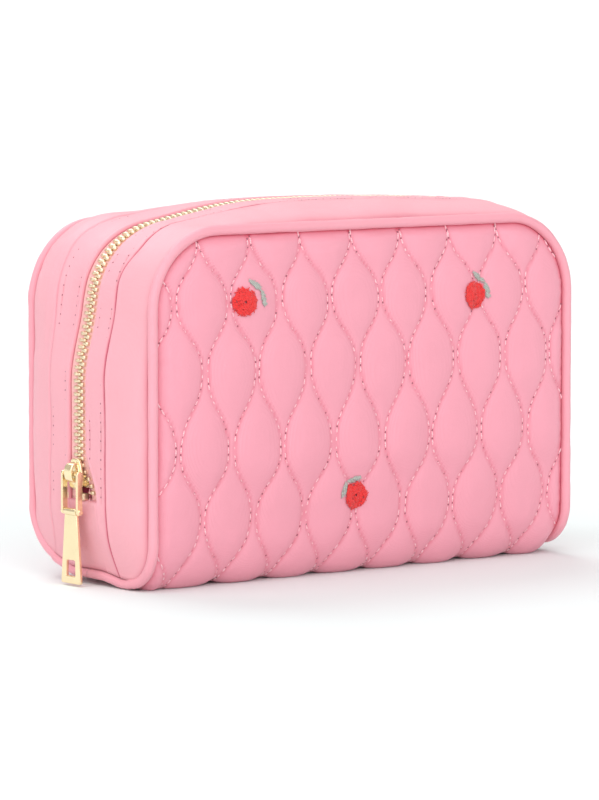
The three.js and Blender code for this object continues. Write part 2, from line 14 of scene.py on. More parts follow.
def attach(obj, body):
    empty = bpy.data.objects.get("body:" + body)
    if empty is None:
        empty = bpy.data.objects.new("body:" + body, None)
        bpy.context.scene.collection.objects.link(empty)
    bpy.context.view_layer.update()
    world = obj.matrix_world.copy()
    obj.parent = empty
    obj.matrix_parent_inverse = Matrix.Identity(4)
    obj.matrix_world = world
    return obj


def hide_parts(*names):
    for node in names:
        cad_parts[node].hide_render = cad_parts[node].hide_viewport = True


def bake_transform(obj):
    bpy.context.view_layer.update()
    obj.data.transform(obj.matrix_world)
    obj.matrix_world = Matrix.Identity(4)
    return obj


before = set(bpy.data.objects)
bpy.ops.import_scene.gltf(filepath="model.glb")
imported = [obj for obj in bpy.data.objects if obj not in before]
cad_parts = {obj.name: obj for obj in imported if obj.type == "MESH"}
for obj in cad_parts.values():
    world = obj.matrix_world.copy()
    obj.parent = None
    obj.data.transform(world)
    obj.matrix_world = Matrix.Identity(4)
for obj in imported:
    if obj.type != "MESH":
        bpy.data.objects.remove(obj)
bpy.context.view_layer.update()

MM = 0.001

# ---- Dimensions of the bag in millimetres. The outline, folds and piping are the CAD's. ----

HALF_LENGTH = 112.5
HALF_DEPTH = 43.0
TOP_Z = 149.4
CORNER_RADIUS = 33.0
FOLD_Y = 27.0
FOLD_Z = 22.0
END_LIFT = 5.5
BULGE = 7.1
TOP_SWELL = 0.36
SPLIT_Z = 35.4
PIPING_RADIUS = 2.15

SEAM_Y = {-1: 18.0, 1: 21.0}
FOLD_EDGE_Y = {-1: 4.9, 1: 6.3}
SIDE_NAMES = {-1: "front", 1: "back"}
SIDE_BODIES = {-1: "bag_front", 1: "bag_back"}
STITCH_ROWS = {-1: (8.0, 15.7), 1: (9.5, 18.6)}
TOOTH_PITCH = 2.8
TOOTH_LEVEL = 6.2

# Quilting: wavy lines of stitching in opposite phase, which nearly meet in rows.
LINE_SPACING = 13.425
LINE_PHASE_X = -120.9
WAVE_REACH = 5.45
LINE_COUNT = 21
PUFF = 2.6
SEAM_SINK = 1.1
STITCH_LENGTH = 3.6

# ---- Camera ----

CAMERA_AZIMUTH = math.radians(-37.92)
CAMERA_ELEVATION = math.radians(5.23)
CAMERA_DISTANCE = 2073.0
CAMERA_AIM = (-1.7, 1.2, 71.2)
CAMERA_LENS = 215.5


def put_in_scene(name, data):
    """A new object in the scene, holding a mesh, curve, lamp or camera."""
    thing = bpy.data.objects.new(name, data)
    bpy.context.scene.collection.objects.link(thing)
    return thing


def add_camera():
    data = bpy.data.cameras.new("camera")
    data.sensor_width = 36
    data.lens = CAMERA_LENS
    data.clip_end = 60
    camera = put_in_scene("camera", data)
    away = Vector((
        math.sin(CAMERA_AZIMUTH) * math.cos(CAMERA_ELEVATION),
        -math.cos(CAMERA_AZIMUTH) * math.cos(CAMERA_ELEVATION),
        math.sin(CAMERA_ELEVATION),
    ))
    aim = Vector(CAMERA_AIM) * MM
    camera.location = aim + away * CAMERA_DISTANCE * MM
    camera.rotation_euler = away.to_track_quat("Z", "Y").to_euler()
    bpy.context.scene.camera = camera


add_camera()

# ---- Materials ----


def linear(hex_colour):
    """An sRGB colour such as 0xF6AFBE as linear RGBA."""
    parts = [(hex_colour >> shift & 255) / 255 for shift in (16, 8, 0)]
    return [p / 12.92 if p <= 0.04045 else ((p + 0.055) / 1.055) ** 2.4 for p in parts] + [1.0]


def dimmed(colour, share):
    return [c * share for c in linear(colour)[:3]] + [1.0]


class Nodes:
    """A short way to write a material's node tree."""

    def __init__(self, name):
        self.material = bpy.data.materials.new(name)
        self.material.use_nodes = True
        self.tree = self.material.node_tree
        self.shader = self.tree.nodes["Principled BSDF"]
        self.place = self.add("ShaderNodeTexCoord").outputs["Object"]

    def add(self, kind, **settings):
        node = self.tree.nodes.new(kind)
        for key, value in settings.items():
            setattr(node, key, value)
        return node

    def link(self, output, node_input):
        self.tree.links.new(output, node_input)

    def noise(self, scale, detail=3.0):
        node = self.add("ShaderNodeTexNoise")
        node.inputs["Scale"].default_value = scale
        node.inputs["Detail"].default_value = detail
        self.link(self.place, node.inputs["Vector"])
        return node.outputs["Fac"]

    def wave(self, direction, wavelength):
        node = self.add("ShaderNodeTexWave", wave_type="BANDS", bands_direction=direction)
        node.inputs["Scale"].default_value = 2 * math.pi / (20 * wavelength)
        self.link(self.place, node.inputs["Vector"])
        return node.outputs["Fac"]

    def math(self, operation, first, second):
        node = self.add("ShaderNodeMath", operation=operation)
        for slot, value in zip(node.inputs, (first, second)):
            if isinstance(value, (int, float)):
                slot.default_value = value
            else:
                self.link(value, slot)
        return node.outputs[0]

    def mix(self, factor, first, second):
        node = self.add("ShaderNodeMix", data_type="RGBA")
        for slot, value in ((node.inputs[0], factor), (node.inputs[6], first), (node.inputs[7], second)):
            if isinstance(value, (int, float, list)):
                slot.default_value = value
            else:
                self.link(value, slot)
        return node.outputs[2]

    def attribute(self, name):
        return self.add("ShaderNodeAttribute", attribute_name=name).outputs["Fac"]

    def bump(self, height, distance, strength=1.0, under=None):
        node = self.add("ShaderNodeBump")
        node.inputs["Strength"].default_value = strength
        node.inputs["Distance"].default_value = distance
        self.link(height, node.inputs["Height"])
        if under is not None:
            self.link(under, node.inputs["Normal"])
        return node.outputs["Normal"]

    def feed(self, **outputs):
        for key, output in outputs.items():
            self.link(output, self.shader.inputs[key.replace("_", " ")])

    def set(self, **values):
        for key, value in values.items():
            self.shader.inputs[key.replace("_", " ")].default_value = value

    def spread(self, value, low, high):
        """Maps a 0 to 1 value onto low to high."""
        return self.math("ADD", self.math("MULTIPLY", value, high - low), low)


def cloth_material(name, colour, shade_colour, thread, roughness):
    """Woven satin: fine threads and slow colour drift, with painted shade: a deeper pink mixed in by the
    mesh's shade attribute along seams, creases and folded edges.
    """
    nodes = Nodes(name)
    drift = nodes.noise(45, 4)
    pale = nodes.mix(drift, linear(colour), dimmed(colour, 0.95))
    # Painted shade: the colour deepens where the mesh's shade attribute marks seams, creases and folded
    # edges.
    tint = nodes.mix(nodes.attribute("painted_shade"), pale, linear(shade_colour))
    warp = nodes.math("ADD", nodes.wave("X", thread), nodes.wave("Y", thread))
    weave = nodes.math("ADD", warp, nodes.wave("Z", thread))
    fine = nodes.bump(weave, 0.00004, 0.6)
    soft = nodes.bump(nodes.noise(240, 3), 0.00025, 0.5, fine)
    rough = nodes.spread(nodes.noise(160, 2), roughness - 0.06, roughness + 0.06)
    nodes.feed(Base_Color=tint, Normal=soft, Roughness=rough)
    nodes.set(Sheen_Weight=0.25, Sheen_Roughness=0.4, Sheen_Tint=linear(0xFFD9E0), Specular_IOR_Level=0.35)
    return nodes.material


def thread_material(name, colour, groove_shade):
    """Twisted thread, with painted highlight on its turns and painted shade between them."""
    nodes = Nodes(name)
    twist = nodes.math("ADD", nodes.wave("DIAGONAL", 0.0005), nodes.noise(1500, 2))
    # Painted light: the colour runs from the shade colour between the turns to the full colour on them.
    tint = nodes.mix(nodes.math("MULTIPLY", twist, 0.5), linear(groove_shade), linear(colour))
    rough = nodes.spread(nodes.noise(900), 0.35, 0.55)
    nodes.feed(Base_Color=tint, Normal=nodes.bump(twist, 0.00005, 0.6), Roughness=rough)
    nodes.set(Sheen_Weight=0.3)
    return nodes.material


def tape_material():
    """The zip's woven tape: fine cross ribs in a beige pink."""
    nodes = Nodes("zip_tape")
    ribs = nodes.math("ADD", nodes.wave("Z", 0.0006), nodes.wave("X", 0.0006))
    tint = nodes.mix(nodes.noise(300), linear(0xF6C3C0), linear(0xEBABA8))
    nodes.feed(Base_Color=tint, Normal=nodes.bump(ribs, 0.0001, 0.8))
    nodes.set(Roughness=0.7)
    return nodes.material


def brass_material(name, colour, roughness):
    """Plated brass, with fine polishing marks and slightly duller patches."""
    nodes = Nodes(name)
    tint = nodes.mix(nodes.noise(220, 4), linear(colour), dimmed(colour, 0.88))
    marks = nodes.bump(nodes.noise(1800, 2), 0.00002, 0.35)
    rough = nodes.spread(nodes.noise(500, 3), roughness - 0.06, roughness + 0.1)
    nodes.feed(Base_Color=tint, Normal=marks, Roughness=rough)
    nodes.set(Metallic=0.85)
    return nodes.material


def floor_material():
    nodes = Nodes("floor")
    tint = nodes.mix(nodes.noise(3, 2), [0.77, 0.83, 0.825, 1], [0.765, 0.82, 0.815, 1])
    nodes.feed(Base_Color=tint)
    nodes.set(Roughness=0.9)
    return nodes.material


# The second colour of each cloth is its painted shade for seams and folds.
QUILT = cloth_material("quilted_satin", 0xEB9CAC, 0xD64A62, 0.00042, 0.5)
BAND = cloth_material("gusset_satin", 0xECA6B1, 0xB93A57, 0.00042, 0.48)
CORD = cloth_material("piping_satin", 0xECA0AD, 0xCF4A62, 0.00042, 0.45)
LINING = cloth_material("lining_cloth", 0xF3BFCA, 0xD98597, 0.0006, 0.7)
TAPE = tape_material()
# The second colour of each thread is its painted shade between the turns.
QUILT_THREAD = thread_material("quilting_thread", 0xFFDDE2, 0xE793A4)
# Painted shade: the dark dots that stand for the shade in the needle holes.
NEEDLE_SHADE = thread_material("needle_hole_shade", 0xB0596C, 0x8A3F52)
RED_THREAD = thread_material("red_thread", 0xF42724, 0xCC1218)
GREY_THREAD = thread_material("grey_thread", 0xC3C4BC, 0x93958F)
GOLD = brass_material("polished_brass", 0xFFE9BE, 0.2)
TEETH_BRASS = brass_material("teeth_brass", 0xF6E0C0, 0.32)

# ---- Mesh helpers ----


def smooth_step(value):
    t = np.clip(value, 0.0, 1.0)
    return t * t * (3 - 2 * t)


def fade(distance, width):
    """1 up to a place, dying away past it."""
    return np.exp(-np.maximum(distance, 0) / width)


def hump(distance, width):
    """1 at a place, dying away on both sides of it."""
    return np.exp(-(distance / width) ** 2)


def unit(vectors):
    return vectors / np.maximum(np.linalg.norm(vectors, axis=-1, keepdims=True), 1e-9)


# How the left foot slouches: the back corner lifts for each mm behind LIFT_FROM_Y, and fades out
# by LIFT_TOP_Z; the front corner sags by FRONT_SAG and fades out by SAG_TOP_Z.
LIFT_SLOPE = 0.31
LIFT_FROM_Y = 13
LIFT_TOP_Z = 52
FRONT_SAG = 2.6
SAG_TOP_Z = 35
GROUND_GAP = 0.05


def slouch(points):
    """How the soft bag settles at its left foot: the back corner lifts and the front corner sags."""
    points = np.array(points, float)
    x, y, z = points.T
    lift_fade = (1 - smooth_step((z - 6) / (LIFT_TOP_Z - 6))) * smooth_step((-x - 60) / 50)
    lift = LIFT_SLOPE * np.maximum(y - LIFT_FROM_Y, 0) * lift_fade
    sag_fade = (1 - smooth_step((z - 5) / (SAG_TOP_Z - 5))) * smooth_step((-x - 88) / 22)
    sag = FRONT_SAG * smooth_step((-y - 6) / 24) * sag_fade
    settled = np.maximum(z + lift - sag, GROUND_GAP)
    points[:, 2] = np.where(z > GROUND_GAP, settled, z + lift)
    return points


def link_mesh(name, points, faces, material, flat_faces=0):
    """Puts a smooth mesh in the scene from points in millimetres. The last flat_faces stay flat."""
    mesh = bpy.data.meshes.new(name)
    mesh.from_pydata((np.asarray(points) * MM).tolist(), [], faces)
    mesh.polygons.foreach_set("use_smooth", [True] * (len(faces) - flat_faces) + [False] * flat_faces)
    mesh.materials.append(material)
    return put_in_scene(name, mesh)


def add_mesh(name, points, faces, material, painted_shade=None):
    """A piece of cloth that settles with the bag. The shade mask, 0 to 1 a point, is painted shade that
    deepens the colour.
    """
    piece = link_mesh(name, slouch(points), np.asarray(faces).tolist(), material)
    # The painted shade is stored on the mesh as a point attribute for the cloth materials.
    layer = piece.data.attributes.new("painted_shade", "FLOAT", "POINT")
    layer.data.foreach_set("value", np.zeros(len(points)) if painted_shade is None else np.asarray(painted_shade).ravel())
    return piece


def grid_normals(grid):
    along = np.gradient(grid, axis=0)
    across = np.gradient(grid, axis=1)
    return unit(np.cross(along, across))


def grid_faces(rows, columns, start=0):
    index = start + np.arange(rows * columns).reshape(rows, columns)
    corners = [index[:-1, :-1], index[1:, :-1], index[1:, 1:], index[:-1, 1:]]
    return np.stack([c.ravel() for c in corners], axis=1)


def rim_faces(rows, columns):
    """The quads that join a grid's edge to the edge of its copy."""
    index = np.arange(rows * columns).reshape(rows, columns)
    rim = np.concatenate([index[:, 0], index[-1, 1:], index[-2::-1, -1], index[0, -2:0:-1]])
    following = np.roll(rim, -1)
    other = rows * columns
    return np.stack([rim, following, following + other, rim + other], axis=1)


def add_sheet(name, grid, thickness, material, painted_shade=None):
    """A closed sheet of cloth from a grid of points whose normals face out of the bag.
    """
    rows, columns = grid.shape[:2]
    inner = grid - grid_normals(grid) * thickness
    points = np.concatenate([grid.reshape(-1, 3), inner.reshape(-1, 3)])
    outside = grid_faces(rows, columns)
    inside = grid_faces(rows, columns, rows * columns)[:, ::-1]
    faces = np.concatenate([outside, inside, rim_faces(rows, columns)[:, ::-1]])
    both = None if painted_shade is None else np.concatenate([painted_shade.ravel(), painted_shade.ravel()])
    piece = add_mesh(name, points, faces, material, both)
    return piece


def ring_faces(rings, sides):
    """The quads that join rings of points into a tube, and the faces that close its two ends."""
    index = np.arange(rings * sides).reshape(rings, sides)
    following = np.roll(index, -1, axis=1)
    quads = np.stack([index[:-1], following[:-1], following[1:], index[1:]], axis=2).reshape(-1, 4)
    return quads.tolist() + [index[0][::-1].tolist(), index[-1].tolist()]


def add_tube(name, path, radii, sides, material):
    """A closed tube along a path of points, with flat ends."""
    path = np.asarray(path, float)
    tangents = unit(np.gradient(path, axis=0))
    side = np.cross(tangents[0], (0.0, 0.0, 1.0))
    if np.linalg.norm(side) < 0.1:
        side = np.cross(tangents[0], (1.0, 0.0, 0.0))
    rings = []
    turns = np.linspace(0, 2 * math.pi, sides, endpoint=False)
    for point, tangent, radius in zip(path, tangents, radii):
        side = unit(side - tangent * side.dot(tangent))
        other = np.cross(tangent, side)
        ring = np.outer(np.cos(turns), side) + np.outer(np.sin(turns), other)
        rings.append(point + radius * ring)
    return link_mesh(name, np.concatenate(rings), ring_faces(len(path), sides), material, flat_faces=2)


def scatter(name, shape, origins, x_axes, y_axes, z_axes, material):
    """Many copies of one small closed shape in one piece, each on its own axes."""
    template, faces = shape
    origins, x_axes, y_axes, z_axes = (np.asarray(a, float) for a in (origins, x_axes, y_axes, z_axes))
    points = (
        origins[:, None, :]
        + template[None, :, 0, None] * x_axes[:, None, :]
        + template[None, :, 1, None] * y_axes[:, None, :]
        + template[None, :, 2, None] * z_axes[:, None, :]
    ).reshape(-1, 3)
    offsets = np.arange(len(origins)) * len(template)
    all_faces = [[i + offset for i in face] for offset in offsets.tolist() for face in faces]
    return link_mesh(name, slouch(points), all_faces, material)


def lathe_shape(stations, sides, squareness=1.0):
    """A closed shape from rings: stations are (x, y radius, z radius, z shift).

    squareness below 1 turns the rings from ellipses into rounded rectangles.
    """
    turns = np.linspace(0, 2 * math.pi, sides, endpoint=False)
    across = np.sign(np.cos(turns)) * np.abs(np.cos(turns)) ** squareness
    up = np.sign(np.sin(turns)) * np.abs(np.sin(turns)) ** squareness
    rings = [
        np.stack([np.full(sides, x), ry * across, shift + rz * up], axis=1)
        for x, ry, rz, shift in stations
    ]
    return np.concatenate(rings), ring_faces(len(stations), sides)


# A stitch one unit long whose ends dive into the cloth, and a flat dot of painted shade for the hollow left
# by the needle.
STITCH = lathe_shape(
    [(-0.5, 0.3, 0.3, -0.9), (-0.4, 0.85, 0.8, -0.1), (0.0, 1.0, 1.0, 0.3),
     (0.4, 0.85, 0.8, -0.1), (0.5, 0.3, 0.3, -0.9)],
    6,
)
SHADE_DOT = lathe_shape([(-0.45, 0.5, 0.12, 0.0), (0.0, 1.0, 0.2, 0.0), (0.45, 0.5, 0.12, 0.0)], 6)


def wander(points, scale, seed):
    """Smooth noise, about -1 to 1, at each point of an array."""
    flat = np.asarray(points, float).reshape(-1, 3) / scale + seed * 17.3
    values = [noise.noise(Vector(p)) for p in flat]
    return np.array(values).reshape(np.asarray(points).shape[:-1]) * 1.6


# ---- The quilted sheet ----
#
# s is the distance along the sheet's section from the middle of the bottom, positive up the
# front and negative up the back. x runs along the bag.

FOLD_LENGTH = math.pi / 2 * math.sqrt(((HALF_DEPTH - FOLD_Y) ** 2 + FOLD_Z ** 2) / 2)
WALL_START = FOLD_Y + FOLD_LENGTH
WALL_TOP = WALL_START + TOP_Z - FOLD_Z

# Heights on the front wall at which the quilting's rows of meeting points lie, top row first.
ROW_HEIGHTS = (144.6, 119.8, 91.0, 57.6, 28.6)
ROW_STEP = 28.5
ROWS_BELOW = 12


def row_places():
    on_wall = [WALL_START + z - FOLD_Z for z in ROW_HEIGHTS]
    below = [on_wall[-1] - ROW_STEP * (i + 1) for i in range(ROWS_BELOW)]
    return np.array([on_wall[0] + ROW_STEP] + on_wall + below)


ROW_PLACES = row_places()


def quilt_phase(s):
    """Counts rows of meeting points along the sheet."""
    order = np.arange(len(ROW_PLACES))[::-1]
    return np.interp(s, ROW_PLACES[::-1], order)


# How sharply the lines turn: larger flattens the wave where the lines nearly meet.
WAVE_FLATNESS = 0.9
# How far the lines lean towards the left end by the wall's top.
LINE_LEAN = 2.6


def line_wave(s):
    return np.tanh(WAVE_FLATNESS * np.cos(np.pi * quilt_phase(s))) / np.tanh(WAVE_FLATNESS)


def line_x(number, s):
    """Where one line of quilting runs at a place along the sheet."""
    way = 1 if number % 2 == 1 else -1
    drift = 0.35 * np.sin(0.05 * np.asarray(s) + number * 2.1)
    lean = -LINE_LEAN * smooth_step((np.asarray(s) - WALL_START - 64) / 62)
    reach = WAVE_REACH + 0.8 * smooth_step((np.asarray(s) - WALL_TOP + 16) / 12)
    return LINE_PHASE_X + LINE_SPACING * number + way * reach * line_wave(s) + drift + lean


# The widest a cell gets, where its puff is full.
FULL_CELL_WIDTH = 23.5


def quilt_height(x, s):
    """The puff's height and the distance to the nearest line of stitching."""
    lines = np.stack([line_x(k, s) for k in range(-2, LINE_COUNT)])
    to_left = np.where(lines <= x, x - lines, np.inf).min(axis=0)
    to_right = np.where(lines > x, lines - x, np.inf).min(axis=0)
    to_left = np.minimum(to_left, 15.0)
    to_right = np.minimum(to_right, 15.0)
    width = to_left + to_right
    nearest = np.minimum(to_left, to_right)
    middle = np.abs(to_left - to_right) / width
    fullness = np.clip(width / FULL_CELL_WIDTH, 0, 1)
    height = PUFF * fullness ** 0.85 * (1 - middle ** 2.3) ** 0.62
    return height, nearest


# Distance from the middle of the bag at which its bottom starts to rise towards the ends.
LIFT_START_X = 94


def end_lift(x):
    near_end = np.maximum(np.abs(x) - LIFT_START_X, 0) / (HALF_LENGTH - LIFT_START_X)
    return (END_LIFT - 1) * near_end ** 2.2


def sheet_base(x, s):
    """The unquilted sheet: a point of it and its outward direction."""
    x, s = np.broadcast_arrays(np.asarray(x, float), np.asarray(s, float))
    side = np.where(s >= 0, -1.0, 1.0)
    run = np.abs(s)
    lift = end_lift(x)
    angle = np.clip((run - FOLD_Y) / FOLD_LENGTH, 0, 1) * math.pi / 2
    reach = FOLD_Y + (HALF_DEPTH - FOLD_Y) * np.sin(angle)
    y = np.where(run < FOLD_Y, run, reach)
    z_fold = FOLD_Z - (FOLD_Z - lift) * np.cos(angle)
    z = np.where(run > WALL_START, FOLD_Z + run - WALL_START, z_fold)
    out_y = np.sin(angle)
    out_z = -np.cos(angle)
    return np.stack([x, side * y, z], axis=-1), np.stack([0 * x, side * out_y, out_z], axis=-1)


def seam_distance(x, z):
    """How far a point of a wall is inside the piping's seam."""
    corner_x = HALF_LENGTH - CORNER_RADIUS
    corner_z = TOP_Z - CORNER_RADIUS
    over_x = np.maximum(np.abs(x) - corner_x, 0)
    over_z = np.maximum(z - corner_z, 0)
    from_corner = CORNER_RADIUS - np.hypot(over_x, over_z)
    straight = np.minimum(HALF_LENGTH - np.abs(x), TOP_Z - z)
    in_corner = (over_x > 0) & (over_z > 0)
    return np.where(in_corner, from_corner, straight)


# How far the stuffed wall crowns past its piping, and how far the seam beside it is drawn in.
WALL_CROWN = 3.6
EDGE_DRAW = 1.6


def quilt_surface(x, s):
    """Points of the quilted face, and the painted shade at each, 0 to 1, strongest beside the piping's seam
    and along the lines of quilting.
    """
    base, out = sheet_base(x, s)
    height, nearest = quilt_height(x, s)
    inside = seam_distance(x, base[..., 2])
    edge = smooth_step((inside - 1.2) / 6.0)
    rise = smooth_step((base[..., 2] - 18) / 40)
    crown = WALL_CROWN * (1 - fade(inside, 13)) * rise
    gather = wander(base * (1, 1, 0.35), 2.6, 3) * 0.2 * np.exp(-nearest / 2.4)
    tension = wander(base * (0.3, 1, 1.6), 3.2, 5) * 0.3 * fade(inside - 2, 9)
    slack = wander(base, 17, 9) * 0.35
    stand = crown + (height + gather + slack) * edge - SEAM_SINK + tension * smooth_step(inside / 3)
    stand = stand - EDGE_DRAW * fade(inside, 1.1)
    points = base + out * stand[..., None]
    points[..., 2] = np.maximum(points[..., 2], GROUND_GAP)
    # Painted shade along the lines of quilting and down into the seam at the piping.
    seam_shade = 0.5 * hump(nearest, 0.7) + 1.0 * fade(inside - 2.0, 0.9)
    return points, np.clip(seam_shade, 0, 1)


def sheet_grid(s_low, spacing, columns, inset=0.6, turn_steps=36):
    """Matching x and s over one half of the sheet, following the rounded top corners."""
    straight_end = WALL_START + TOP_Z - CORNER_RADIUS - FOLD_Z
    radius = CORNER_RADIUS - inset
    rows = np.arange(s_low, straight_end, spacing)
    angles = np.linspace(0, math.pi / 2, turn_steps)
    s = np.concatenate([rows, straight_end + radius * np.sin(angles)])
    limit = np.concatenate([
        np.full(len(rows), HALF_LENGTH - inset),
        HALF_LENGTH - CORNER_RADIUS + radius * np.cos(angles),
    ])
    u = np.linspace(-1, 1, columns)
    return u[:, None] * limit[None, :], np.broadcast_to(s, (len(u), len(s)))


# Where under the bag, in front of its middle, the front sheet ends and the back sheet begins.
SPLIT_S = 22.0
QUILT_THICKNESS = 1.4
QUILT_SPACING = {-1: 1.25, 1: 1.5}


def quilt(side):
    spacing = QUILT_SPACING[side]
    x, s = sheet_grid(-side * SPLIT_S, spacing, int(2 * HALF_LENGTH / spacing))
    points, seam_shade = quilt_surface(x, -side * s)
    if side > 0:
        points, seam_shade = points[::-1], seam_shade[::-1]
    return add_sheet(f"{SIDE_NAMES[side]}_quilted_sheet", points, QUILT_THICKNESS, QUILT, seam_shade)


def surface_frames(x, s, direction):
    """Points on the quilted face with axes along a direction (dx, ds), across it and out of it."""
    step = 0.4
    dx, ds = direction
    middle = quilt_surface(x, s)[0]
    ahead = quilt_surface(x + dx * step, s + ds * step)[0]
    along = unit(ahead - quilt_surface(x - dx * step, s - ds * step)[0])
    out = sheet_base(x, s)[1]
    out = unit(out - along * (out * along).sum(-1, keepdims=True))
    return middle, along, np.cross(out, along), out


def line_marks(number, side):
    """Where the stitches of one line of quilting lie, as x and s, and which way each one runs."""
    dense = np.arange(-side * SPLIT_S, WALL_TOP, 0.2)
    path = line_x(number, -side * dense)
    run = np.concatenate([[0], np.cumsum(np.hypot(np.diff(path), np.diff(dense)))])
    marks = np.arange(STITCH_LENGTH / 2 + (number % 3) * 0.7, run[-1], STITCH_LENGTH)
    slope = np.interp(marks, run, np.gradient(path, dense))
    length = np.hypot(slope, 1)
    return np.interp(marks, run, path), np.interp(marks, run, dense), slope / length, 1 / length


def quilt_stitches(side):
    """The thread along every line of quilting on one half of the sheet, and dark dots of painted shade at its
    needle holes.
    """
    name = SIDE_NAMES[side]
    lines = [line_marks(number, side) for number in range(-1, LINE_COUNT - 1)]
    x, s, dx, ds = (np.concatenate(v) for v in zip(*lines))
    z = sheet_base(x, s)[0][..., 2]
    keep = (seam_distance(x, z) > 2.4) & (np.abs(x) < HALF_LENGTH - 2.4)
    x, s, dx, ds = x[keep], s[keep], dx[keep], ds[keep]
    middle, along, across, out = surface_frames(x, -side * s, (dx, -side * ds))
    stitches = scatter(
        f"{name}_quilting_thread", STITCH, middle + out * 0.12, along * (STITCH_LENGTH - 0.55),
        across * 0.42, out * 0.36, QUILT_THREAD,
    )
    half = STITCH_LENGTH / 2
    middle, along, across, out = surface_frames(x + dx * half, -side * (s + ds * half), (dx, -side * ds))
    # Painted shade: a dark dot at each needle hole.
    shade_dots = scatter(
        f"{name}_needle_hole_shade", SHADE_DOT, middle + out * 0.2, along * 0.8, across * 0.5, out * 0.5, NEEDLE_SHADE,
    )
    return stitches, shade_dots


# ---- The gusset ----
#
# d is the distance along the gusset from the floor at the left end, up, over and down again.

# How much of its bulge the gusset loses at the upper left corner, and where it starts, is deepest
# and starts to fill again.
CORNER_HOLLOW = 0.92
HOLLOW_START = 85
HOLLOW_DEEPEST = 123
HOLLOW_FILLS = 150
HOLLOW_END = 230
# Where along the gusset the front seam is pulled out of line.
KINK_PLACE = 144.0
# How firmly each side's seams are drawn in, and how strong their painted seam shade is.
FIRMNESS = {-1: 1.0, 1: 0.3}


def fullness(z):
    """How far the gusset has filled out at a height, from its own foot up to the foot of the zip."""
    climb = np.clip((z - END_LIFT) / (SPLIT_Z - END_LIFT), 0, 1)
    return 0.15 + 0.85 * np.sin(climb * math.pi / 2)


def gusset_path(low_z, spacing):
    """Stations up the left end, over the top and down the right end, by even distance."""
    corner_z = TOP_Z - CORNER_RADIUS
    corner_x = HALF_LENGTH - CORNER_RADIUS
    rise = corner_z - low_z
    turn = CORNER_RADIUS * math.pi / 2
    top = 2 * corner_x
    total = 2 * (rise + turn) + top
    d = np.linspace(0, total, int(total / spacing) + 1)
    right = d > rise + turn + top / 2
    mirrored = np.where(right, 2 * (rise + turn) + top - d, d)
    angle = np.clip((mirrored - rise) / CORNER_RADIUS, 0, math.pi / 2)
    over = np.maximum(mirrored - rise - turn, 0)
    way = np.where(right, 1.0, -1.0)
    out_x, out_z = way * np.cos(angle), np.sin(angle)
    x = way * (corner_x - over) + CORNER_RADIUS * out_x
    z = np.where(mirrored < rise, low_z + mirrored, corner_z + CORNER_RADIUS * out_z)
    swell = np.where(over > 0, TOP_SWELL * np.sin(np.pi * over / top), 0)
    d = d + low_z
    deepening = smooth_step((d - HOLLOW_START) / (HOLLOW_DEEPEST - HOLLOW_START))
    filling = smooth_step((d - HOLLOW_FILLS) / (HOLLOW_END - HOLLOW_FILLS))
    hollow = CORNER_HOLLOW * deepening * (1 - filling) ** 1.6
    return {
        "x": x, "z": z, "out_x": out_x, "out_z": out_z, "swell": swell, "hollow": hollow,
        "full": fullness(z), "d": d,
    }


def bulge(y):
    t = np.minimum(np.abs(y) / (HALF_DEPTH - 1), 1)
    return BULGE * (1 - t ** 3.2) ** 0.6


def end_half_width(z):
    """Half the width of the gusset's end at a height, inside the piping."""
    drop = np.clip((FOLD_Z - z) / (FOLD_Z - END_LIFT - 1), 0, 1)
    return FOLD_Y + (HALF_DEPTH - 1.2 - FOLD_Y) * np.sqrt(1 - drop ** 2)


def place(path, y, level):
    """Points at distances y across the gusset, a level above the seam line."""
    column = {key: value[:, None] for key, value in path.items()}
    front_share = 1 - 0.7 * smooth_step((y - 12) / 16)
    stand = level * column["full"] + (column["swell"] - column["hollow"] * front_share) * bulge(y)
    x = column["x"] + column["out_x"] * stand
    z = column["z"] + column["out_z"] * stand
    return np.stack(np.broadcast_arrays(x, y, z), axis=-1)


def seam_line(path, side):
    """How far from the centre line the gusset's long seam runs, with the wobble of hand sewing."""
    low = np.clip((FOLD_Z - path["z"]) / 15, 0, 1)
    away = SEAM_Y[side] + 3.5 * low ** 1.5
    wobble = 0.35 * np.sin(path["d"] / 19 + side) + 0.2 * np.sin(path["d"] / 7.3 + 2 * side)
    past = path["d"] - KINK_PLACE
    kink = 1.9 * hump(past, 7) - 3.2 * hump(past - 24, 13)
    dent = -1.0 * hump(past + 15, 7)
    return away + wobble + (kink + dent) * FIRMNESS[side]


def side_sheet(name, side, grid, thickness, material, painted_shade):
    """One side's strip of the gusset, from a grid that runs inwards, stitched to that side's piping."""
    name = f"{SIDE_NAMES[side]}_{name}"
    if side > 0:
        grid = grid[:, ::-1]
        painted_shade = None if painted_shade is None else painted_shade[:, ::-1]
    return add_sheet(name, grid, thickness, material, painted_shade)


